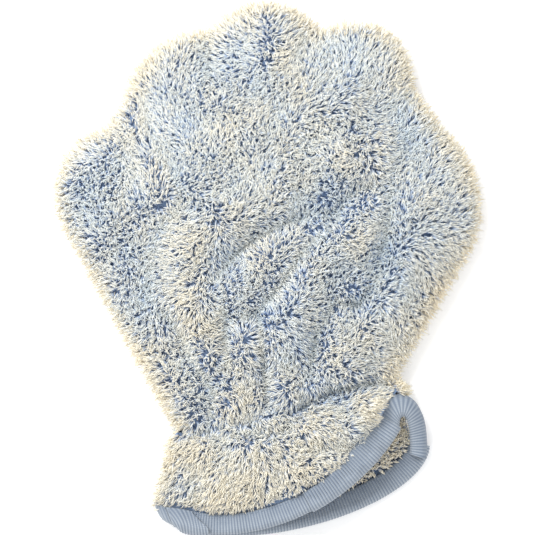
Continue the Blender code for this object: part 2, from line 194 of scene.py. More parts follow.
# Plan and height of the mouth's two edges, in the wrist's own directions
def backMouth():
    half = cuff["mouthWidth"] / 2
    base = cuff["mouthBow"] - cuff["length"]
    turn = np.radians(np.linspace(cuff["mouthStart"], 360.0, 200))
    run = np.stack((
        cuff["mouthShift"] + half * np.cos(turn), base + cuff["mouthBow"] * np.sin(turn),
        np.full(turn.shape, cuff["tapeHalf"]),
    ), axis=1)
    share = np.linspace(0.0, 1.0, 60)[1:]
    end = np.array((cuff["mouthShift"] + half - cuff["endInset"], -cuff["endGap"],
                    cuff["tapeHalf"] + cuff["endRise"]))
    rise = lerp(run[-1], end, share[:, None])
    rise[:, 2] = lerp(run[-1, 2], end[2], ease(share))
    return np.concatenate((run, rise))


def frontMouth():
    half = cuff["mouthWidth"] / 2
    base = cuff["mouthBow"] - cuff["length"]
    end = backMouth()[-1]
    left = 3 * cuff["tapeHalf"] + 0.0015
    right = end[2] + 2 * cuff["tapeHalf"] + 0.0015
    share = np.linspace(0.0, 1.0, 240)
    place = lerp(math.cos(math.radians(cuff["mouthStart"])), cuff["flapEnd"], share)
    lift = cuff["flapLift"] * ((1.0 + place) / 2) ** 1.9 * np.sqrt(share)
    run = np.stack((
        cuff["mouthShift"] + half * place,
        base - cuff["mouthBow"] * np.sqrt(1.0 - place ** 2) + lift,
        lerp(left, right, share) + cuff["flapGape"] * np.sin(np.pi * share ** 1.5),
    ), axis=1)
    return np.concatenate((run, straight(run[-1], np.array((end[0], end[1], right)), 24)[1:]))


def lineTable(mouth):
    # The mouth's edge at even steps, the direction inwards from it and the wrist end of each line
    lengths = lengthsAlong(mouth[:, :2])
    shares = np.linspace(0.0, 1.0, 500)
    edge = readAt(shares * lengths[-1], lengths, mouth)
    ahead = np.minimum(shares + 0.012, 1.0) * lengths[-1]
    behind = np.maximum(shares - 0.012, 0.0) * lengths[-1]
    run = unit(readAt(ahead, lengths, mouth[:, :2]) - readAt(behind, lengths, mouth[:, :2]))
    inward = np.stack((-run[:, 1], run[:, 0]), axis=1)
    leftSide = unit(np.array((-0.35, 0.94)))
    rightSide = unit(np.array((mitt["wristWidth"] / 2, 0.0)) - mouth[-1, :2])
    inward = unit(lerp(leftSide, inward, ease(shares / 0.10)[:, None]))
    inward = unit(lerp(inward, rightSide, ease((shares - 0.90) / 0.10)[:, None]))
    return {"shares": shares, "edge": edge, "inward": inward, "length": lengths[-1]}


frontLine = lineTable(frontMouth())
backLine = lineTable(backMouth())


def atShare(table, key, share):
    return readAt(share, table["shares"], table[key])


# Folds of the cloth: a line of plan points, half width, height, from the middle of the hand
folds = (
    # the long crease over the palm and the roll above it
    (((-0.026, -0.033), (-0.016, -0.021), (0.005, -0.007), (0.034, 0.002), (0.050, 0.014)),
     0.0055, -0.0039),
    (((-0.020, -0.004), (0.002, 0.014), (0.030, 0.026), (0.052, 0.030)), 0.0120, 0.0028),
    # the second crease, between two ridges
    (((-0.022, -0.045), (-0.012, -0.027), (0.008, -0.016), (0.024, -0.007)), 0.0070, 0.0020),
    (((-0.010, -0.054), (0.008, -0.038), (0.020, -0.017), (0.037, -0.003)), 0.0048, -0.0033),
    (((0.004, -0.064), (0.016, -0.042), (0.028, -0.024), (0.046, -0.012)), 0.0090, 0.0031),
    # the crease that curls down the right side to the wrist, and the bulge outside it
    (((0.063, 0.008), (0.061, -0.014), (0.054, -0.038), (0.046, -0.047)), 0.0060, -0.0031),
    (((0.046, -0.047), (0.034, -0.046), (0.026, -0.060), (0.021, -0.082)), 0.0048, -0.0034),
    (((0.076, 0.004), (0.074, -0.030), (0.064, -0.052)), 0.0110, 0.0020),
    (((0.036, -0.082), (0.048, -0.064)), 0.0080, 0.0023),
    # the broad ridge on the left and the creases beside it
    (((-0.028, -0.002), (-0.041, -0.020), (-0.038, -0.046), (-0.033, -0.072)), 0.0095, 0.0033),
    (((-0.025, -0.044), (-0.022, -0.060), (-0.021, -0.078)), 0.0045, -0.0022),
    (((-0.054, -0.050), (-0.043, -0.064), (-0.037, -0.076), (-0.029, -0.092)), 0.0040, -0.0034),
    (((-0.074, -0.016), (-0.060, -0.034)), 0.0090, -0.0017),
    # the pleats above the wrist
    (((-0.004, -0.056), (-0.002, -0.078), (0.000, -0.100)), 0.0036, -0.0037),
    (((0.010, -0.106), (0.012, -0.068)), 0.0060, 0.0012),
    (((-0.014, -0.098), (-0.012, -0.064)), 0.0060, 0.0022),
    (((-0.030, -0.104), (-0.025, -0.094)), 0.0040, -0.0023),
    (((-0.046, -0.096), (-0.056, -0.080)), 0.0070, 0.0019),
    # dents and rises among the fingers
    (((-0.072, 0.051), (-0.053, 0.007)), 0.0046, 0.0023),
    (((-0.036, 0.090), (-0.022, 0.068)), 0.0075, -0.0027),
    (((-0.062, 0.056), (-0.030, 0.050)), 0.0090, -0.0016),
    (((-0.022, 0.056), (-0.010, 0.048), (-0.024, 0.036)), 0.0085, 0.0022),
    (((0.006, 0.090), (0.008, 0.066)), 0.0080, 0.0019),
    (((0.020, 0.086), (0.044, 0.084)), 0.0070, -0.0019),
    (((0.066, 0.050), (0.078, 0.020)), 0.0080, -0.0014),
    # the crease under the wrist on the right, and the puffed roll below it
    (((0.066, -0.0865), (0.032, -0.0915), (0.012, -0.104)), 0.0042, -0.0055),
    (((-0.050, -0.1135), (-0.020, -0.1140), (0.012, -0.1115)), 0.0040, -0.0051),
    (((0.061, -0.0985), (0.040, -0.1060), (0.022, -0.1090)), 0.0080, 0.0039),
    (((0.053, -0.1177), (0.0375, -0.1214), (0.020, -0.1225)), 0.0050, -0.0031),
    (((-0.010, -0.120), (-0.016, -0.150)), 0.0060, 0.0019),
    (((0.004, -0.118), (0.006, -0.145)), 0.0035, -0.0023),
    (((0.014, -0.122), (0.022, -0.145)), 0.0060, 0.0017),
    (((-0.026, -0.120), (-0.036, -0.150)), 0.0045, -0.0022),
)
# Patches of cooler or warmer fur: plan place, half sizes, change of tone
patches = (
    ((0.073, -0.024), (0.013, 0.032), -0.20),
    ((0.032, -0.028), (0.012, 0.016), -0.19),
    ((0.016, -0.060), (0.010, 0.018), -0.13),
    ((0.022, 0.008), (0.026, 0.012), -0.12),
    ((-0.090, 0.000), (0.012, 0.034), -0.18),
    ((-0.066, -0.050), (0.014, 0.014), -0.16),
    ((-0.030, 0.014), (0.018, 0.016), -0.11),
    ((-0.018, -0.040), (0.010, 0.018), -0.12),
    ((0.072, 0.050), (0.010, 0.018), -0.12),
    ((-0.014, 0.082), (0.014, 0.010), -0.08),
    ((-0.038, -0.020), (0.009, 0.026), 0.10),
    ((-0.036, -0.062), (0.007, 0.018), 0.13),
    ((-0.058, 0.026), (0.008, 0.018), 0.12),
    ((-0.016, 0.046), (0.012, 0.012), 0.12),
    ((0.007, 0.076), (0.010, 0.016), 0.08),
    ((-0.064, -0.088), (0.016, 0.022), 0.20),
    ((0.084, -0.052), (0.010, 0.030), 0.18),
    ((-0.012, -0.098), (0.030, 0.012), 0.12),
)


def drift(points, size, phase):
    # A slow wander from -1 to 1
    x, y = points[:, 0] / size, points[:, 1] / size
    return (np.sin(x * 1.0 + y * 0.7 + phase) + np.sin(x * -0.6 + y * 1.1 + 2.1 * phase + 1.0)
            + np.sin(x * 1.7 - y * 0.4 + 0.7 * phase + 2.0)) / 3.0


def foldHeight(points):
    local = points - handMiddle
    height = np.zeros(len(points))
    for line, width, rise in folds:
        line = np.array(line)
        near = np.full(len(points), 1.0)
        for a, b in zip(line[:-1], line[1:]):
            run = b - a
            share = np.clip(((local - a) @ run) / (run @ run), 0.0, 1.0)
            near = np.minimum(near, np.linalg.norm(local - (a + share[:, None] * run), axis=1))
        height += rise * np.exp(-(near / width) ** 2)
    across, along = toWrist(points)
    pull = np.exp(-(along / 0.0065) ** 2)                      # the elastic draws the cloth in
    fan = np.exp(-np.abs(along + 0.002) / 0.020) * (1.0 - 0.5 * pull)
    gathers = np.sin(across / 0.0026 + 1.3 * np.sin(across / 0.011) + along / 0.018)
    return height - 0.0016 * pull + 0.0016 * fan * gathers + 0.0009 * drift(points, 0.006, 0.4)


def palmHeight(points, distance):
    # Top of the front cloth, from the distance to the mitt's edge
    along = toWrist(points)[1]
    top = lerp(mitt["wristTop"], mitt["palmTop"], ease(along / 0.075)) - mitt["seamHeight"] - mitt["rimRise"]
    share = np.clip(distance / mitt["domeReach"], 0.0, 1.0)
    rise = top * (1.0 - (1.0 - share) ** 1.5)
    inset = np.clip((distance - mitt["clothInset"]) / mitt["rimRound"], 0.0, 1.0)
    rim = np.sqrt(1.0 - (1.0 - inset) ** 2)
    return (mitt["seamHeight"] + (mitt["rimRise"] - mitt["pile"]) * rim + rise * rim
            + foldHeight(points) * ease(inset * 0.6 + rise / 0.020))


def frontCloth(points):
    distance = nearestOn(handEdge, points)[0]
    return np.column_stack((points, palmHeight(points, distance)))


def backCloth(points):
    distance = nearestOn(handEdge, points)[0]
    inset = np.clip((distance - mitt["clothInset"]) / mitt["rimRound"], 0.0, 1.0)
    drop = (mitt["seamHeight"] - mitt["floorCloth"]) * np.sqrt(1.0 - (1.0 - inset) ** 2)
    return np.column_stack((points, mitt["seamHeight"] - drop))


tapeLand = cuff["tapeWidth"] - 0.0006    # the cuff's cloth starts just under the tape


def tapeFlare(share):
    # The front tape spreads wider as it comes to its arch
    return 1.0 + 0.34 * ease((share - 0.55) / 0.28)


def cuffCloth(line, share, body, isFront):
    # body is 0 at the tape and 1 at the wrist line
    edge, inward = atShare(line, "edge", share), atShare(line, "inward", share)
    start = edge[:, :2] + inward * tapeLand
    end = np.stack((lerp(-0.5, 0.5, share) * mitt["wristWidth"], np.zeros(len(share))), axis=1)
    place = lerp(start, end, body[:, None])
    plan = fromWrist(place[:, 0], place[:, 1])
    wristPlan = fromWrist(end[:, 0], end[:, 1])
    side = np.minimum(share, 1.0 - share) * mitt["wristWidth"]
    if isFront:
        wristLevel = palmHeight(wristPlan, np.maximum(side, mitt["clothInset"]))
        level = lerp(edge[:, 2] + 0.0006, wristLevel, ease(body))
        rim = ease(side / 0.014)
        ripple = np.sin(share * 34.0 + 1.2 * np.sin(share * 9.0) + body * 1.5)
        level += rim * np.sin(np.pi * body) * (0.0030 + 0.0015 * ripple)
        # a puffed roll just below the wrist on the right
        atRight = ease((share - 0.45) / 0.2) * ease((0.97 - share) / 0.1)
        level += 0.0020 * atRight * np.sin(np.pi * body ** 0.6)
        level += foldHeight(plan) * ease((1.0 - body) / 0.3) * ease(body / 0.25) * rim
    else:
        level = lerp(np.minimum(edge[:, 2], mitt["floorCloth"]), mitt["floorCloth"], ease(body))
        level = lerp(mitt["seamHeight"] * body + edge[:, 2] * (1.0 - body), level, ease(side / 0.009))
    return np.column_stack((plan, level))


print("plan ready")


# Shader writing
class Link:
    # A socket that can be used in sums
    def __init__(self, tree, socket):
        self.tree = tree
        self.socket = socket

    def math(self, operation, *values):
        return self.tree.node("ShaderNodeMath", {"operation": operation}, *values)

    def __add__(self, other):
        return self.math("ADD", self, other)

    def __radd__(self, other):
        return self.math("ADD", other, self)

    def __sub__(self, other):
        return self.math("SUBTRACT", self, other)

    def __rsub__(self, other):
        return self.math("SUBTRACT", other, self)

    def __mul__(self, other):
        return self.math("MULTIPLY", self, other)

    def __rmul__(self, other):
        return self.math("MULTIPLY", other, self)


def fillRamp(ramp, stops):
    while len(ramp.elements) < len(stops):
        ramp.elements.new(1.0)
    for element, (place, colour) in zip(ramp.elements, stops):
        element.position = place
        element.color = (*colour, 1.0)


class Tree:
    def __init__(self, name, roughness, sheen=0.0):
        self.material = bpy.data.materials.new(name)
        self.material.use_nodes = True
        self.nodes = self.material.node_tree.nodes
        self.links = self.material.node_tree.links
        self.shader = self.nodes["Principled BSDF"]
        self.shader.inputs["Roughness"].default_value = roughness
        self.shader.inputs["Sheen Weight"].default_value = sheen
        self.shader.inputs["Sheen Roughness"].default_value = 0.5
        self.shader.inputs["Specular IOR Level"].default_value = 0.25

    def node(self, kind, settings, *values, output=0, **named):
        made = self.nodes.new(kind)
        for key, value in settings.items():
            if key == "stops":
                fillRamp(made.color_ramp, value)
            else:
                setattr(made, key, value)
        for key, value in list(enumerate(values)) + list(named.items()):
            socket = made.inputs[key]
            if isinstance(value, Link):
                self.links.new(value.socket, socket)
            elif value is not None:
                socket.default_value = value
        return Link(self, made.outputs[output])

    def ramp(self, value, *stops):
        return self.node("ShaderNodeValToRGB", {"stops": stops}, value)

    def mix(self, share, a, b):
        # Sockets 0, 6 and 7 of a colour Mix are its factor and its two colours
        made = self.nodes.new("ShaderNodeMix")
        made.data_type = "RGBA"
        for socket, value in ((made.inputs[0], share), (made.inputs[6], a), (made.inputs[7], b)):
            if isinstance(value, Link):
                self.links.new(value.socket, socket)
            elif isinstance(value, tuple):
                socket.default_value = (*value, 1.0)
            else:
                socket.default_value = value
        return Link(self, made.outputs[2])

    def feed(self, socket, value):
        self.links.new(value.socket, self.shader.inputs[socket])

    def bump(self, height, distance):
        made = self.node("ShaderNodeBump", {}, Strength=1.0, Distance=distance, Height=height)
        self.feed("Normal", made)

    def uv(self, name):
        return self.axes(self.node("ShaderNodeUVMap", {"uv_map": name}))

    def axes(self, vector):
        split = self.node("ShaderNodeSeparateXYZ", {}, vector).socket.node
        return [Link(self, socket) for socket in split.outputs]

    def place(self):
        return Link(self, self.nodes.new("ShaderNodeTexCoord").outputs["Object"])

    def noise(self, vector, scale, detail=2.0):
        return self.node("ShaderNodeTexNoise", {}, vector, Scale=scale, Detail=detail)


def pileLook(name, roots, tips):
    # Across its map a strand keeps one tone, and up its map it runs from root to tip
    tree = Tree(name, 0.85, sheen=0.25)
    tone, rise, _ = tree.uv("OFBake")
    root = tree.ramp(tone, *roots)
    tip = tree.ramp(tone, *tips)
    share = tree.ramp(rise, (0.0, (0.0, 0.0, 0.0)), (0.34, (0.10, 0.10, 0.10)), (0.76, (1.0, 1.0, 1.0)))
    tree.feed("Base Color", tree.mix(share, root, tip))
    return tree.material


def clothLook(name, dark, light):
    # Knitted backing under the fur
    tree = Tree(name, 0.95)
    place = tree.place()
    grain = tree.noise(place, 900.0)
    tree.feed("Base Color", tree.mix(grain, dark, light))
    tree.bump(tree.node("ShaderNodeTexVoronoi", {}, place, Scale=700.0), 0.0004)
    return tree.material


def tapeLook(name, grooveShade, crestLight):
    # Ribs run across the tape: the map's u counts ribs and v crosses the tape
    tree = Tree(name, 0.75, sheen=0.15)
    along, over, _ = tree.uv("weave")
    wave = along.math("SINE", along * (2.0 * math.pi)) * 0.5 + 0.5
    yarn = over.math("SINE", over * (2.0 * math.pi * 22.0)) * 0.5 + 0.5
    inner = over.math("ABSOLUTE", over - 0.5) * 2.0      # 1 at the sewn edges, 0 at the fold
    wear = tree.noise(tree.place(), 160.0)
    # painted shade in the rib grooves and along the sewn edges, painted light on the rib crests, with random
    # wear noise on top
    light = wave * (0.86 - inner * 0.42) + wear * 0.3 - inner * 0.16
    tree.feed("Base Color", tree.mix(light, grooveShade, crestLight))
    tree.bump(yarn * 0.6 + tree.noise(tree.place(), 2600.0) * 0.4, 0.00012)
    return tree.material


def threadLook(name, colour, shade):
    tree = Tree(name, 0.6)
    place = tree.place()
    x, y, z = tree.axes(place)
    twist = x.math("SINE", (x + y + z) * 7000.0) * 0.5 + 0.5
    tree.feed("Base Color", tree.mix(twist, shade, colour))
    tree.bump(twist, 0.0001)
    return tree.material


looks = {
    "pile": pileLook("plushPile",
                     ((0.0, (0.22, 0.38, 0.71)), (0.35, (0.26, 0.40, 0.67)), (0.72, (0.29, 0.39, 0.58)),
                      (1.0, (0.60, 0.55, 0.49))),
                     ((0.0, (0.75, 0.84, 0.88)), (0.35, (0.90, 0.92, 0.88)), (0.65, (1.0, 0.95, 0.81)),
                      (1.0, (1.0, 0.90, 0.69)))),
    "cloth": clothLook("plushBacking", (0.20, 0.29, 0.45), (0.27, 0.36, 0.52)),
    # the tape's painted groove shade colour, then its painted crest light colour
    "tape": tapeLook("ribbedTape", (0.155, 0.195, 0.26), (0.39, 0.435, 0.485)),
    "tapeThread": threadLook("tapeThread", (0.34, 0.40, 0.48), (0.22, 0.27, 0.35)),
    "seamThread": threadLook("seamThread", (0.80, 0.80, 0.78), (0.55, 0.55, 0.54)),
    "elastic": threadLook("elasticBand", (0.82, 0.82, 0.80), (0.62, 0.62, 0.60)),
}
print("materials ready")


# Mesh helpers
def addObject(name, mesh, look, smooth=True):
    if smooth:
        mesh.shade_smooth()
    mesh.materials.append(looks[look])
    piece = bpy.data.objects.new(name, mesh)
    bpy.context.scene.collection.objects.link(piece)
    return piece


def mappedSheet(name, columns, rows, place, thickness, look, pole=False, weave=None):
    # A grid over (u, v), each vertex put where place(u, v) says, given a wall below it
    bm = bmesh.new()
    bmesh.ops.create_grid(bm, x_segments=columns, y_segments=rows, size=0.5)
    shares = np.array([v.co[:2] for v in bm.verts]) + 0.5
    uvLayer = bm.loops.layers.uv.new("weave")
    bm.verts.index_update()
    where = shares if weave is None else weave(shares[:, 0], shares[:, 1])
    for face in bm.faces:
        for loop in face.loops:
            loop[uvLayer].uv = where[loop.vert.index]
    for vert, point in zip(bm.verts, place(shares[:, 0], shares[:, 1])):
        vert.co = point
    if pole:
        bmesh.ops.remove_doubles(bm, verts=bm.verts, dist=0.00002)
        bmesh.ops.dissolve_degenerate(bm, edges=bm.edges, dist=0.00001)
    bmesh.ops.recalc_face_normals(bm, faces=bm.faces)
    if sum(face.normal.z * face.calc_area() for face in bm.faces) < 0:
        bmesh.ops.reverse_faces(bm, faces=bm.faces)
    bmesh.ops.solidify(bm, geom=bm.faces, thickness=thickness)
    mesh = bpy.data.meshes.new(name)
    bm.to_mesh(mesh)
    bm.free()
    return addObject(name, mesh, look)


# One strand of fur: a thin stem of three sides that narrows to a closed tip
strand = {
    "sides": 3,
    "stations": (0.0, 0.42, 0.78, 1.0),     # shares of its length, the last is the tip
    "girth": (0.80, 1.0, 0.76, 0.0),
    "wave": 0.9,                            # how far it waves sideways, in half widths
    "mapWidth": 0.0044,                     # width of one strand on its map
}
lowest = 0.0002      # strands and the tape's faces stay above this


def extrudeUp(bm, face):
    grown = bmesh.ops.extrude_face_region(bm, geom=[face])["geom"]
    verts = [item for item in grown if isinstance(item, bmesh.types.BMVert)]
    bmesh.ops.translate(bm, verts=verts, vec=(0.0, 0.0, 1.0))
    return next(item for item in grown if isinstance(item, bmesh.types.BMFace))


def makeStrand():
    # Unit strand whose heights count its stations
    bm = bmesh.new()
    bmesh.ops.create_circle(bm, segments=strand["sides"], radius=1.0, cap_ends=True)
    top = bm.faces[:][0]
    for _ in strand["stations"][2:]:
        top = extrudeUp(bm, top)
    tip = bmesh.ops.poke(bm, faces=[top])["verts"]
    bmesh.ops.translate(bm, verts=tip, vec=(0.0, 0.0, 1.0))
    bmesh.ops.recalc_face_normals(bm, faces=bm.faces)
    return readShape(bm)


def readShape(bm):
    # Vertices, the corners of every face in one row, each face's size, and each corner's map place
    bm.verts.index_update()
    verts = np.array([v.co for v in bm.verts])
    corners, sizes, mapped = [], [], []
    for face in bm.faces:
        middle = face.calc_center_median()
        isCap = len({round(v.co.z) for v in face.verts}) == 1
        for order, vert in enumerate(face.verts):
            turn = middle.x * vert.co.y - middle.y * vert.co.x
            side = float(np.sign(round(turn, 6)))
            rise = strand["stations"][round(vert.co.z)]
            if isCap:
                side, rise = (-1.0, 1.0, 0.0)[order], (0.0, 0.0, 0.04)[order]
            corners.append(vert.index)
            mapped.append((side * strand["mapWidth"] / 2, rise))
        sizes.append(len(face.verts))
    bm.free()
    corners, sizes, mapped = (np.array(part) for part in (corners, sizes, mapped))
    return {"verts": verts, "corners": corners, "sizes": sizes, "mapped": mapped}


def stampMesh(name, shape, points, mapped=None):
    # One mesh of many copies of a shape; points holds each copy's vertices
    copies, count = points.shape[:2]
    mesh = bpy.data.meshes.new(name)
    corners = (shape["corners"][None, :] + np.arange(copies)[:, None] * count).ravel()
    sizes = np.tile(shape["sizes"], copies)
    mesh.vertices.add(copies * count)
    mesh.vertices.foreach_set("co", points.astype(np.float32).ravel())
    mesh.loops.add(len(corners))
    mesh.loops.foreach_set("vertex_index", corners.astype(np.int32))
    mesh.polygons.add(len(sizes))
    mesh.polygons.foreach_set("loop_start", (np.cumsum(sizes) - sizes).astype(np.int32))
    mesh.update(calc_edges=True)
    if mapped is not None:
        layer = mesh.uv_layers.new(name="OFBake")
        layer.uv.foreach_set("vector", mapped.astype(np.float32).ravel())
    mesh.validate()
    return mesh


strandShape = makeStrand()


def strandPoints(start, bend, end, width):
    # Vertices of curved strands, each from its start over its bend to its end
    side = unit(np.cross(end - start, random.normal(0.0, 1.0, end.shape)))
    width = width / 2 * random.uniform(0.75, 1.2, (len(end), 1))
    line = []
    for t in strand["stations"]:
        line.append((1 - t) ** 2 * start + 2 * t * (1 - t) * bend + t * t * end)
    wave = random.normal(0.0, strand["wave"], (len(end), 1)) * width
    line[1] = line[1] + side * wave
    line[2] = line[2] - side * wave
    points = np.empty((len(end), len(strandShape["verts"]), 3))
    for i, (x, y, z) in enumerate(strandShape["verts"]):
        station = round(z)
        run = unit(line[min(station + 1, len(line) - 1)] - line[max(station - 1, 0)])
        other = unit(np.cross(run, side))
        across = np.cross(other, run)
        girth = width * strand["girth"][station]
        points[:, i] = line[station] + (across * x + other * y) * girth * (station < len(line) - 1)
    points[:, :, 2] = np.maximum(points[:, :, 2], lowest)
    return points


def growPile(name, attach, roots, normals, lay, growth, tones, depth=1.0):
    # Locks of strands: every lock has its own root, lean and tone
    each = growth["strands"]
    lay = lay + random.normal(0.0, growth["scatter"], lay.shape)
    lay -= (lay * normals).sum(axis=1, keepdims=True) * normals
    turn = unit(normals + lay)
    lockSide = unit(np.cross(turn, unit(random.normal(0.0, 1.0, turn.shape))))
    lockOther = np.cross(turn, lockSide)
    spin = random.uniform(0.0, 2.0 * np.pi, (len(roots), each, 1))
    reach = growth["spread"] * np.sqrt(random.uniform(0.05, 1.0, (len(roots), each, 1)))
    offset = (lockSide[:, None] * np.cos(spin) + lockOther[:, None] * np.sin(spin)) * reach
    offset -= (offset * normals[:, None]).sum(axis=2, keepdims=True) * normals[:, None]
    depth = np.broadcast_to(depth, len(roots))[:, None, None]
    length = growth["length"] * depth * random.uniform(0.82, 1.12, (len(roots), each, 1))
    start = roots[:, None] + offset - normals[:, None] * growth["sunk"]
    stray = random.normal(0.0, growth["stray"], offset.shape)
    curl = random.normal(0.0, growth["curl"], (len(roots), 1, 3))
    end = start + turn[:, None] * length + offset * (growth["gather"] - 1.0) + stray * length
    bend = start + (normals[:, None] * growth["rise"] + curl) * length + offset * growth["gather"] * -0.4
    start, bend, end = (a.reshape(-1, 3) for a in (start, bend, end))
    if "floor" in growth:
        end[:, 2] = np.maximum(end[:, 2], growth["floor"])
        bend[:, 2] = np.maximum(bend[:, 2], growth["floor"])
    points = strandPoints(start, bend, end, growth["width"])
    strandTones = np.repeat(tones, each) + random.normal(0.0, growth["toneScatter"], len(end))
    strandTones = np.clip(strandTones, 0.01, 0.99)
    strandTones[[0, -1]] = 0.01, 0.99      # every piece uses the whole width of its map
    mapped = np.tile(strandShape["mapped"], (len(end), 1, 1))
    mapped[:, :, 0] += strandTones[:, None]
    piece = addObject(name, stampMesh(name, strandShape, points, mapped), "pile")
    attach(piece)


# The hand's cloth
handAngles = np.unwrap(np.arctan2(*(handEdge - handMiddle).T[::-1]))
handRadii = np.linalg.norm(handEdge - handMiddle, axis=1)


def insideHand(points, border):
    local = points - handMiddle
    angle = np.arctan2(local[:, 1], local[:, 0])
    angle = np.where(angle < handAngles[0], angle + 2 * np.pi, angle)
    within = np.linalg.norm(local, axis=1) < np.interp(angle, handAngles, handRadii, right=1.0)
    return within & (toWrist(points)[1] > border)


run = unit(np.gradient(handEdge, axis=0))
clothEdge = handEdge + np.stack((-run[:, 1], run[:, 0]), axis=1) * mitt["clothInset"]
along = toWrist(clothEdge)[1]
clothEdge = clothEdge[along > 0.0]
# its wrist end tucks a little way under the cuff's cloth
clothEdge = np.concatenate((clothEdge, straight(clothEdge[-1], clothEdge[0], 60)[1:-1] - alongHand * 0.0022,
                            clothEdge[:1]))
clothSteps = lengthsAlong(clothEdge)


def handPlan(u, v):
    # v runs from the cloth's edge to the middle of the hand
    edge = readAt(u * clothSteps[-1], clothSteps, clothEdge)
    return lerp(handMiddle, edge, (1.0 - v ** 1.6)[:, None])


cloth = {"thickness": 0.0012, "columns": 180, "rows": 40}
palmCloth = mappedSheet("palm_cloth", cloth["columns"], cloth["rows"],
                        lambda u, v: frontCloth(handPlan(u, v)), cloth["thickness"], "cloth", pole=True)
backHandCloth = mappedSheet("back_hand_cloth", cloth["columns"], cloth["rows"],
                            lambda u, v: backCloth(handPlan(u, v)), cloth["thickness"], "cloth", pole=True)
print("hand cloth ready")


def jitterGrid(low, high, spacing):
    x = np.arange(low[0], high[0], spacing)
    y = np.arange(low[1], high[1], spacing * 0.87)
    gridX, gridY = np.meshgrid(x, y)
    gridX[1::2] += spacing / 2
    points = np.column_stack((gridX.ravel(), gridY.ravel()))
    return points + random.uniform(-0.42, 0.42, points.shape) * spacing


def slopes(height, points):
    # Slope of a height over the plan, and the surface's upward normal
    step = 0.0004
    here = height(points)
    dx = (height(points + (step, 0.0)) - here) / step
    dy = (height(points + (0.0, step)) - here) / step
    return np.stack((dx, dy), axis=1), unit(np.stack((-dx, -dy, np.ones(len(dx))), axis=1))


palmPile = {
    "spacing": 0.00128, "strands": 3, "length": 0.0076, "width": 0.00056, "spread": 0.0007,
    "gather": 0.40, "scatter": 0.33, "stray": 0.085, "rise": 0.62, "curl": 0.13, "sunk": 0.0006,
    "toneScatter": 0.09,
}
floorPile = dict(palmPile, spacing=0.0032, length=0.0064, width=0.0015, spread=0.0014, floor=0.0006)
fringe = dict(palmPile, spacing=0.0015, length=0.0082, width=0.00060, scatter=0.20, rise=0.35, floor=0.0012)
fringeRows = (-38.0, -14.0, 10.0, 34.0, 58.0)     # degrees from the floor side up over the rim
wristBand = {"hand": 0.024, "cuff": -0.0015}      # the hand and cuff ends of a band across the wrist
wristZone = 0.026                                 # fur nearer the wrist than this goes into the wrist pieces
furBorder = {"hand": -0.0026, "flap": -0.0024}    # along the wrist, each keeps to its own side


def rideOn(body):
    return lambda piece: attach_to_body(piece, body)


def wristBlend(piece):
    start = (*fromWrist(0.0, wristBand["hand"]), mitt["seamHeight"])
    end = (*fromWrist(0.0, wristBand["cuff"]), mitt["seamHeight"])
    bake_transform(piece)


def palmTone(points, distance):
    # Cool in patches and warm and pale towards the rim, with painted shade (bluer) in the bottoms of the
    # folds and painted light (paler) on their ridges
    local = points - handMiddle
    tone = 0.37 + 0.46 * np.exp(-(distance / 0.0115) ** 2)
    for place, sizes, change in patches:
        away = (local - place) / sizes
        tone += change * np.exp(-(away ** 2).sum(axis=1))
    tone += 0.10 * drift(points, 0.011, 0.3) + 0.10 * drift(points, 0.0042, 1.9)
    # painted shade and painted light: the tone falls in the fold bottoms and rises on the fold ridges
    return tone + 45.0 * foldHeight(points)


def furDepth(points, distance):
    # The fur is shorter in the middle of the palm and in the bottom of a fold, where it is pinched
    rim = np.exp(-distance / 0.020)
    return np.clip(lerp(0.82, 1.05, rim) + 50.0 * foldHeight(points), 0.60, 1.10)


def palmLay(points, distance, towards):
    # The fur falls out over the rim, down the sides of folds and over the crease at the wrist, and
    # wanders elsewhere
    slope = slopes(foldHeight, points)[0]
    lay = 0.50 * heading(np.pi * (1.2 * drift(points, 0.018, 0.9) + 0.25 * drift(points, 0.005, 2.2)))
    lay += towards * np.exp(-np.maximum(distance - mitt["clothInset"], 0.0) / 0.008)[:, None]
    lay += (points - handMiddle) * 2.0
    lay -= slope * 0.42
    lay -= np.multiply.outer(0.8 * np.exp(-((toWrist(points)[1] + 0.002) / 0.006) ** 2), alongHand)
    return laidFlat(lay)


def palmSurface(points):
    return palmHeight(points, nearestOn(handEdge, points)[0])


def handRoots(spacing, border):
    # Places for locks on the hand, with the distance and the direction to its edge
    roots = jitterGrid(cadBox[0][:2], cadBox[1][:2], spacing)
    roots = roots[insideHand(roots, border)]
    distance, towards = nearestOn(handEdge, roots)
    keep = distance > mitt["clothInset"] + 0.0004
    return roots[keep], distance[keep], towards[keep]


def growPalm():
    roots, distance, towards = handRoots(palmPile["spacing"], furBorder["hand"])
    normals = unit(slopes(palmSurface, roots)[1] + (0.0, 0.0, 0.4))
    places = np.column_stack((roots, palmHeight(roots, distance)))
    lean = palmLay(roots, distance, towards)
    tones, depth = palmTone(roots, distance), furDepth(roots, distance)
    x, y = (roots - handMiddle).T
    atWrist = toWrist(roots)[1] <= wristZone
    bands = {
        "finger_pile": (0.048, 1.0), "palm_pile_upper": (0.004, 0.048),
        "palm_pile_middle": (-0.036, 0.004), "palm_pile_lower": (-1.0, -0.036),
    }
    zones = {}
    for name, (low, high) in bands.items():
        band = (y > low) & (y <= high) & ~atWrist
        zones[name + "_left"] = band & (x < 0.0)
        zones[name + "_right"] = band & (x >= 0.0)
    for name, zone in zones.items():
        growPile(name, rideOn("hand"), places[zone], normals[zone], lean[zone], palmPile, tones[zone],
                 depth[zone])
    growPile("wrist_pile", wristBlend, places[atWrist], normals[atWrist], lean[atWrist], palmPile,
             tones[atWrist], depth[atWrist])


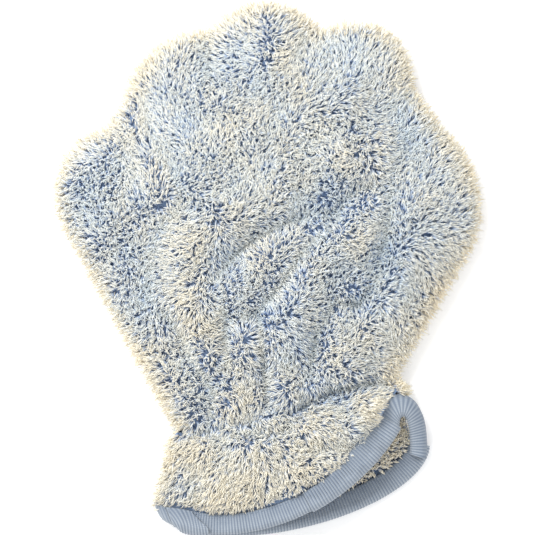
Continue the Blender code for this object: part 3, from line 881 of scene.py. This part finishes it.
def growRim():
    # Fringe all round the hand
    reach = lengthsAlong(handEdge)
    roots, normals, tones = [], [], []
    for tilt in fringeRows:
        steps = np.arange(0.0, reach[-1], fringe["spacing"])
        steps = steps + random.uniform(-0.4, 0.4, len(steps)) * fringe["spacing"]
        edge = readAt(steps, reach, handEdge)
        ahead = unit(readAt(steps + 0.003, reach, handEdge) - readAt(steps - 0.003, reach, handEdge))
        outward = np.stack((ahead[:, 1], -ahead[:, 0]), axis=1)
        turn = math.radians(tilt)
        inset = mitt["clothInset"] + mitt["rimRound"] * (1.0 - math.cos(turn))
        level = mitt["seamHeight"] + mitt["rimRound"] * (0.42 if tilt > 0 else 0.6) * math.sin(turn)
        roots.append(np.column_stack((edge - outward * inset, np.full(len(edge), level))))
        normals.append(np.column_stack((outward * math.cos(turn), np.full(len(edge), math.sin(turn)))))
        tones.append(0.90 + 0.10 * drift(edge, 0.009, 0.5) + random.normal(0.0, 0.05, len(edge)))
    roots, normals, tones = (np.concatenate(part) for part in (roots, normals, tones))
    inHand = toWrist(roots[:, :2])[1] > 0.0
    growPile("rim_fringe", wristBlend, roots[inHand], normals[inHand], np.zeros((inHand.sum(), 3)), fringe,
             tones[inHand])


def growHandBack():
    # Fur under the hand, pressed flat by its weight
    roots, distance, towards = handRoots(floorPile["spacing"], 0.0)
    places = backCloth(roots)
    down = np.tile((0.0, 0.0, -1.0), (len(roots), 1))
    press = heading(np.pi * 1.3 * drift(roots, 0.014, 1.7)) + towards * np.exp(-distance / 0.02)[:, None]
    press = laidFlat(press) * floorPress
    tones = palmTone(roots, distance)
    upper = (roots - handMiddle)[:, 1] > 0.004
    atWrist = toWrist(roots)[1] <= wristZone
    zones = {
        "back_pile_upper": (upper & ~atWrist, rideOn("hand")),
        "back_pile_lower": (~upper & ~atWrist, rideOn("hand")),
        "back_wrist_pile": (atWrist, wristBlend),
    }
    for name, (zone, attach) in zones.items():
        growPile(name, attach, places[zone], down[zone], press[zone], floorPile, tones[zone])


floorPress = 1.3      # how far fur on the floor is pressed over
growPalm()
growRim()
growHandBack()
for piece, node in ((palmCloth, "front_panel"), (backHandCloth, "back_panel")):
    wristBlend(piece)
    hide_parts(node)
print("hand fur ready")


# The cuff: a front flap and a back, each from the tape up to the wrist line
cuffSides = (0.020, 0.980)      # the cloth stops this far short of the two side seams
flapHalves = {"left": (0.0, 0.5), "right": (0.5, 1.0)}


def cuffPlace(line, isFront, low=0.0, high=1.0):
    def place(u, v):
        return cuffCloth(line, lerp(*cuffSides, lerp(low, high, u)), v, isFront)
    return place


def flapBlend(piece, half):
    # Fixes the piece's placement into its mesh; the side and middle points worked out here are not used
    side = -0.060 if half == "left" else 0.062
    start, end = fromWrist(side, -0.020), fromWrist(-0.004, -0.020)
    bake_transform(piece)


flapCloth = {}
for half, (low, high) in flapHalves.items():
    flapCloth[half] = mappedSheet("flap_cloth_" + half, 60, 36, cuffPlace(frontLine, True, low, high),
                                  cloth["thickness"], "cloth")
    flapBlend(flapCloth[half], half)
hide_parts("front_cuff")
cuffBackCloth = mappedSheet("cuff_back_cloth", 110, 36, cuffPlace(backLine, False), cloth["thickness"],
                            "cloth")
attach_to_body(cuffBackCloth, "cuff_back")
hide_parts("back_cuff")


def cuffRoots(line, spacing, isFront, low=0.0, high=1.0, deepest=1.0):
    # Evenly spread shares across the cuff and along each of its lines
    shares, bodies = [], []
    columns = int(line["length"] * (high - low) / spacing)
    for i in range(columns):
        share = lerp(low, high, (i + 0.5) / columns)
        ends = cuffCloth(line, np.array((share, share)), np.array((0.0, 1.0)), isFront)
        rows = max(int(np.linalg.norm(ends[1] - ends[0]) / (spacing * 0.9)), 1)
        body = (np.arange(rows) + 0.5 + random.uniform(-0.4, 0.4, rows)) / rows
        body = body[(body < deepest) & (body > 0.05)]
        bodies.append(body)
        shares.append(share + random.uniform(-0.45, 0.45, len(body)) * (high - low) / columns)
    share, body = np.clip(np.concatenate(shares), *cuffSides), np.concatenate(bodies)
    step = 0.003
    here = cuffCloth(line, share, body, isFront)
    over = cuffCloth(line, share + step, body, isFront) - here
    up = cuffCloth(line, share, body + step, isFront) - here
    return share, body, here, unit(np.cross(over, up))


def nearSide(share):
    # 1 at the cuff's two side seams, fading inwards
    return np.exp(-np.minimum(share, 1.0 - share) * mitt["wristWidth"] / 0.010)


def blot(across, along, place, size):
    # A round patch in the wrist's own directions
    return np.exp(-(((across - place[0]) / size) ** 2 + ((along - place[1]) / size) ** 2))


cuffPile = dict(palmPile, spacing=0.00138, length=0.0082, width=0.00058, scatter=0.36, rise=0.45)
archClear = {"across": (0.0590, 0.0135), "along": (-0.0190, 0.0140)}     # middle and half size
blueBlots = (      # place, size and change of tone
    ((-0.056, -0.026), 0.010, -0.24), ((0.030, -0.014), 0.013, -0.24), ((0.0, -0.022), 0.008, -0.10),
)


def growFlap():
    share, body, places, normals = cuffRoots(frontLine, cuffPile["spacing"], True)
    across, along = toWrist(places[:, :2])
    # the tape's arch at the right end and the wide part of the tape before it stand clear of fur
    clear = sum(((value - middle) / size) ** 2 for value, (middle, size)
                in ((across, archClear["across"]), (along, archClear["along"]))) > 1.0
    wristEnd = cuffCloth(frontLine, share, np.ones(len(share)), True)[:, :2]
    reach = np.linalg.norm(wristEnd - places[:, :2], axis=1)
    fromTape = reach * body / (1.001 - body) - (tapeFlare(share) - 1.0) * cuff["tapeWidth"]
    clear &= (fromTape > -0.0006) & (along < furBorder["flap"])
    share, body, places, normals, fromTape, across, along = (
        part[clear] for part in (share, body, places, normals, fromTape, across, along))
    plan = places[:, :2]
    normals = unit(normals * np.sign(normals[:, 2:]) + (0.0, 0.0, 0.5))
    inward = atShare(frontLine, "inward", share)
    toMouth = -(np.multiply.outer(inward[:, 0], acrossHand) + np.multiply.outer(inward[:, 1], alongHand))
    atSide = nearSide(share)
    # it fans out sideways and falls towards the mouth, but not over the tape
    lean = 0.25 * heading(np.pi * (1.2 * drift(plan, 0.012, 0.2) + 0.5 * drift(plan, 0.004, 1.2)))
    lean += np.multiply.outer((share - 0.42) * 1.5 + np.sign(share - 0.5) * 0.6 * atSide, acrossHand)
    lean += toMouth * (0.68 - 0.58 * np.exp(-np.maximum(fromTape, 0.0) / 0.0045))[:, None]
    depth = lerp(0.40, 1.0, ease(fromTape / 0.011)) + 35.0 * foldHeight(plan)
    depth = np.clip(depth, 0.38, 1.1)
    tones = 0.61 - (share - 0.5) * 0.2 + 0.13 * drift(plan, 0.009, 0.8) + 0.12 * atSide
    for place, size, change in blueBlots:
        tones += change * blot(across, along, place, size)
    # painted shade in the bottoms of the cuff's folds and painted light on their ridges
    tones += 45.0 * foldHeight(plan) * ease(body / 0.25)
    lean = laidFlat(lean)
    for half, (low, high) in flapHalves.items():
        zone = (share >= low) & (share < high)
        growPile("flap_pile_" + half, lambda piece: flapBlend(piece, half), places[zone], normals[zone],
                 lean[zone], cuffPile, tones[zone], depth[zone])


def growCuffBack():
    share, body, places, normals = cuffRoots(backLine, floorPile["spacing"], False)
    plan = places[:, :2]
    down = np.tile((0.0, 0.0, -1.0), (len(places), 1))
    press = heading(np.pi * 1.3 * drift(plan, 0.012, 2.7))
    press += np.multiply.outer(np.sign(share - 0.5) * nearSide(share), acrossHand)
    growPile("cuff_back_pile", rideOn("cuff_back"), places, down, laidFlat(press) * floorPress, floorPile,
             0.5 + 0.12 * drift(plan, 0.009, 1.8))


# The lining that shows inside the mouth
lining = dict(palmPile, length=0.0056, width=0.00098, spacing=0.0018, spread=0.0009, scatter=0.4)


def growLining():
    share, body, places, normals = cuffRoots(backLine, lining["spacing"], False, low=0.03, high=0.985,
                                             deepest=0.92)
    plan = places[:, :2]
    up = np.tile((0.0, 0.0, 1.0), (len(places), 1))
    lean = laidFlat(0.5 * heading(np.pi * 1.3 * drift(plan, 0.010, 3.3)))
    growPile("mouth_lining_pile", rideOn("cuff_back"), places + (0.0, 0.0, cloth["thickness"] / 2), up,
             lean, lining, 0.80 + 0.15 * drift(plan, 0.006, 1.1))


def growCuffSides():
    # Fringe of the two side seams; the mouth cuts the right one short
    roots, normals = [], []
    for end, out, steps in ((0, -acrossHand, 22), (1, acrossHand, 16)):
        for tilt in fringeRows:
            turn = math.radians(tilt)
            body = (np.arange(steps) + 0.5) / steps + random.uniform(-0.4, 0.4, steps) / steps
            share = np.full(steps, cuffSides[end])
            top = cuffCloth(frontLine, share, body, True)
            low = cuffCloth(backLine, share, body, False)
            roots.append(lerp(low, top, 0.5 + 0.45 * math.sin(turn)))
            normals.append(np.tile((*(out * math.cos(turn)), math.sin(turn)), (steps, 1)))
    roots, normals = np.concatenate(roots), np.concatenate(normals)
    growPile("cuff_side_fringe", rideOn("cuff_back"), roots, normals, np.zeros(roots.shape), fringe,
             np.full(len(roots), 0.82))


growFlap()
growCuffBack()
growLining()
growCuffSides()
print("cuff fur ready")


# Ribbed tape folded over the mouth's edge
tape = {
    "width": cuff["tapeWidth"], "half": cuff["tapeHalf"], "thickness": 0.0008,
    "ribPitch": 0.00160, "ribRise": 0.00032, "stepsPerRib": 5, "section": 22,
}
tape["cut"] = 2 * (tape["width"] - tape["half"]) + math.pi * tape["half"]


def tapeSection(q):
    # q goes from the inner edge of the outer face, over the fold, to the inner edge of the inner
    # face; gives the distance in from the fold and the height above the fold's middle
    half, flatPart = tape["half"], 0.36
    run = np.clip(np.minimum(q, 1.0 - q) / flatPart, 0.0, 1.0)
    inset = lerp(tape["width"], half, run)
    height = half * (0.86 + 0.14 * np.sin(np.pi * np.clip(run, 0.0, 0.5))) * np.sign(0.5 - q)
    turn = np.clip((q - flatPart) / (1.0 - 2 * flatPart), 0.0, 1.0) * np.pi
    inFold = (q > flatPart) & (q < 1.0 - flatPart)
    inset = np.where(inFold, half * (1.0 - np.sin(turn)), inset)
    height = np.where(inFold, half * np.cos(turn), height)
    outward = np.where(inFold, np.cos(turn), np.sign(0.5 - q))
    return inset, height, outward


def ribs(steps, q):
    ridge = np.abs(np.sin(np.pi * steps)) ** 0.8
    return tape["ribRise"] * ridge * ease(np.minimum(q, 1.0 - q) / 0.03)


def tapeShare(u, v, low, high, slant):
    # A slanting end stops short along the tape's sewn edges
    return lerp(low, high - slant * (1.0 - ease(np.minimum(v, 1.0 - v) / 0.40)), u)


def ribCount(line, share, v, slant):
    # Ribs lean on a piece whose end slants
    lean = 0.35 * slant * np.minimum(v, 1.0 - v) / 0.40
    return (share - lean) * line["length"] / tape["ribPitch"]


def tapePlace(line, low, high, lift, slant):
    def place(u, v):
        share = tapeShare(u, v, low, high, slant)
        edge, inward = atShare(line, "edge", share), atShare(line, "inward", share)
        inset, height, outward = tapeSection(v)
        out = ribs(ribCount(line, share, v, slant), v) + lift * ease((share - low) / 0.03)
        sag = 0.0005 * np.sin(share * 61.0) + 0.0004 * np.sin(share * 23.0 + 1.0)
        inset = (inset - out * (1.0 - np.abs(outward))) * (tapeFlare(share) if line is frontLine else 1.0)
        plan = edge[:, :2] + inward * inset[:, None]
        level = edge[:, 2] + height + out * outward + sag * (1.0 if line is frontLine else 0.3)
        spot = fromWrist(plan[:, 0], plan[:, 1])
        return np.column_stack((spot, np.maximum(level, lowest)))
    return place


def tapeMesh(name, length, place, weave):
    # The tape was cut as a strip and folded in half over the cloth's edge
    columns = int(length / tape["ribPitch"] * tape["stepsPerRib"])
    piece = mappedSheet(name, columns, tape["section"], place, tape["thickness"], "tape", weave=weave)
    return piece


def evenWeave(length):
    return lambda u, v: np.column_stack((u * length / tape["ribPitch"], v))


def tapePiece(name, line, low, high, lift=0.0, slant=0.0):
    def weave(u, v):
        return np.column_stack((ribCount(line, tapeShare(u, v, low, high, slant), v, slant), v))

    place = tapePlace(line, low, high, lift, slant)
    return tapeMesh(name, line["length"] * (high - low), place, weave)


turns = {"left": (0.03, 0.03), "right": (0.90, 0.87)}     # front and back shares where the tape turns
tapeHalves = {"left": (turns["left"][0], 0.5), "right": (0.5, turns["right"][0])}
frontTapes = {}
for half, (low, high) in tapeHalves.items():
    frontTapes[half] = tapePiece("front_tape_" + half, frontLine, low, high)
    flapBlend(frontTapes[half], half)
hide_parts("front_binding")
backTape = tapePiece("back_tape", backLine, turns["left"][1], turns["right"][1])
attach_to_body(backTape, "cuff_back")
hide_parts("back_binding")
# The tape's two ends meet in a slanting lap at the left
lap = tapePiece("tape_lap", frontLine, 0.032, 0.150, lift=0.0020, slant=0.066)
flapBlend(lap, "left")


def lineState(line, share):
    # Edge point, direction inwards and direction of travel in the wrist's own directions
    spot, inward = (atShare(line, key, np.array((share,)))[0] for key in ("edge", "inward"))
    ends = atShare(line, "edge", np.clip(np.array((share - 0.01, share + 0.01)), 0.0, 1.0))
    return spot, inward, unit(ends[1] - ends[0])


def tapeTurn(name, frontShare, backShare, sweep):
    # The tape turns from the front edge round to the back edge at one end of the mouth
    forward = 1.0 if frontShare > 0.5 else -1.0
    front, frontIn, frontRun = lineState(frontLine, frontShare)
    back, backIn, backRun = lineState(backLine, backShare)
    frontRun, backRun = frontRun * forward, backRun * forward
    out = unit(np.array((frontRun[0] + backRun[0], frontRun[1] + backRun[1], 0.0)))
    length = np.linalg.norm(front - back) + 1.4 * sweep

    def place(u, v):
        u = u[:, None]
        spot = ((1 - u) ** 3 * front + 3 * u * (1 - u) ** 2 * (front + frontRun * sweep)
                + 3 * u * u * (1 - u) * (back + backRun * sweep) + u ** 3 * back)
        face = np.cos(np.pi * u) * np.array((0.0, 0.0, 1.0)) + np.sin(np.pi * u) * out
        inward = unit(np.concatenate((lerp(frontIn, backIn, u), 0.0 * u), axis=1))
        inset, height, outward = (part[:, None] for part in tapeSection(v))
        rise = ribs(u[:, 0] * length / tape["ribPitch"], v)[:, None]
        point = spot + inward * (inset - rise * (1.0 - np.abs(outward))) + face * (height + rise * outward)
        return np.column_stack((fromWrist(point[:, 0], point[:, 1]), np.maximum(point[:, 2], lowest)))

    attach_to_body(tapeMesh(name, length, place, evenWeave(length)), "cuff_back")


tapeTurn("tape_turn_left", turns["left"][0], turns["left"][1], 0.006)

# At the right the front tape arches round the end of the mouth and comes down over the back tape.
# Each row: across, along and height of its fold, and the direction in degrees towards its sewn edges.
archStart = lineState(frontLine, turns["right"][0])
archRows = np.array((
    (*archStart[0], math.degrees(math.atan2(archStart[1][1], archStart[1][0]))),
    (0.0562, -0.0200, 0.0174, 124.0),
    (0.0572, -0.0178, 0.0178, 98.0),
    (0.0590, -0.0172, 0.0174, 66.0),
    (0.0602, -0.0188, 0.0160, 34.0),
    (0.0605, -0.0235, 0.0132, 8.0),
    (0.0598, -0.0295, 0.0106, -2.0),
    (0.0588, -0.0345, 0.0092, -14.0),
    (0.0578, -0.0378, 0.0086, -30.0),
))


def smoothRun(rows, steps):
    # Rows at even steps along a run of points, its corners rounded off
    lengths = lengthsAlong(rows[:, :3]) + 0.002 * np.arange(len(rows))
    run = readAt(np.linspace(0.0, 1.0, steps) * lengths[-1], lengths, rows)
    width = steps // 12
    padded = np.concatenate((2 * run[:1] - run[width:0:-1], run, 2 * run[-1:] - run[-2:-width - 2:-1]))
    total = np.cumsum(np.concatenate((np.zeros((1, rows.shape[1])), padded)), axis=0)
    return (total[2 * width + 1:] - total[:-2 * width - 1]) / (2 * width + 1)


archRun = smoothRun(archRows, 240)
archLength = 0.042


def archPlace(u, v):
    across, along, level, turn = readAt(u, np.linspace(0.0, 1.0, len(archRun)), archRun).T
    turn = np.radians(turn)
    inset, height, outward = tapeSection(v)
    rise = ribs(u * archLength / tape["ribPitch"], v) * 0.55
    # its two layers close on each other towards the sewn edges
    height = height * lerp(1.0, ease(np.minimum(v, 1.0 - v) / 0.12), ease(u / 0.25))
    inset = (inset - rise * (1.0 - np.abs(outward))) * lerp(1.34, 0.86, ease((u - 0.05) / 0.4))
    spot = fromWrist(across + np.cos(turn) * inset, along + np.sin(turn) * inset)
    droop = 0.0020 * np.sin(np.pi * u) * (inset / tape["width"]) ** 2
    return np.column_stack((spot, level + height + rise * outward - droop))


arch = tapeMesh("tape_arch", archLength, archPlace, evenWeave(archLength))
flapBlend(arch, "right")

# Topstitching of the front tape, which follows its shape
stitch = {"length": 0.0022, "pitch": 0.0029, "radius": 0.00022, "row": 0.05}


def stitchRow(name, line, low, high):
    bm = bmesh.new()
    bmesh.ops.create_icosphere(bm, subdivisions=1, radius=1.0)
    shape = readShape(bm)
    place = tapePlace(line, low, high, 0.0, 0.0)
    count = int(line["length"] * (high - low) / stitch["pitch"])
    middle = (np.arange(count) + 0.5) / count
    half = 0.5 * stitch["length"] / (line["length"] * (high - low))
    row = np.full(count, stitch["row"])
    start, end = place(middle - half, row), place(middle + half, row)
    along = (end - start)[:, None] / 2
    up = np.array((0.0, 0.0, stitch["radius"]))
    across = unit(np.cross(along, up)) * stitch["radius"]
    x, y, z = (shape["verts"][:, i][None, :, None] for i in range(3))
    points = (start + end)[:, None] / 2 + along * x + across * y + up * (z + 0.5)
    piece = addObject(name, stampMesh(name, shape, points), "tapeThread")
    return piece


frontStitches = {}
for half, (low, high) in tapeHalves.items():
    frontStitches[half] = stitchRow("front_stitches_" + half, frontLine, low, high)
    flapBlend(frontStitches[half], half)
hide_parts("front_binding_stitching")
print("tape ready")


# Pieces that keep their plain shape
keptLooks = {
    "perimeter_seam_thread": "seamThread", "perimeter_overlock": "seamThread", "wrist_elastic": "elastic",
    "elastic_stitching": "seamThread", "left_cuff_seam_thread": "seamThread",
    "right_cuff_seam_thread": "seamThread", "back_binding_stitching": "tapeThread",
}
for name, look in keptLooks.items():
    bpy.data.objects[name].material_slots[0].material = looks[look]

# Stage
stage = {"floor": 3.0, "cameraHeight": 2.4, "frameHeight": 0.2785}
bm = bmesh.new()
bmesh.ops.create_grid(bm, x_segments=1, y_segments=1, size=stage["floor"] / 2)
mesh = bpy.data.meshes.new("floor")
bm.to_mesh(mesh)
bm.free()
floorTree = Tree("paleFloor", 0.9)
grain = floorTree.noise(floorTree.place(), 3.0)
floorTree.feed("Base Color", floorTree.mix(grain, (0.93, 0.93, 0.93), (0.95, 0.95, 0.95)))
floorTree.shader.inputs["Emission Color"].default_value = (1.0, 1.0, 1.0, 1.0)
floorTree.shader.inputs["Emission Strength"].default_value = 0.20
looks["floor"] = floorTree.material
floor = addObject("floor", mesh, "floor", smooth=False)

world = bpy.data.worlds.new("studio")
bpy.context.scene.world = world
world.use_nodes = True
world.node_tree.nodes["Background"].inputs["Color"].default_value = (1.0, 1.0, 1.0, 1.0)
world.node_tree.nodes["Background"].inputs["Strength"].default_value = 0.97
bpy.context.scene.view_settings.view_transform = "Standard"


def areaLight(name, place, size, power):
    light = bpy.data.lights.new(name, "AREA")
    light.size = size
    light.energy = power
    lamp = bpy.data.objects.new(name, light)
    lamp.location = place
    lamp.rotation_euler = (-Vector(place)).to_track_quat("-Z", "Y").to_euler()
    bpy.context.scene.collection.objects.link(lamp)


areaLight("keyLight", (-0.85, 0.95, 1.50), 1.0, 31.0)

camera = bpy.data.cameras.new("camera")
camera.sensor_width = 36.0
camera.lens = camera.sensor_width * (stage["cameraHeight"] - mitt["seamHeight"]) / stage["frameHeight"]
cameraObject = bpy.data.objects.new("camera", camera)
cameraObject.location = (0.0, 0.0, stage["cameraHeight"])
bpy.context.scene.collection.objects.link(cameraObject)
bpy.context.scene.camera = cameraObject
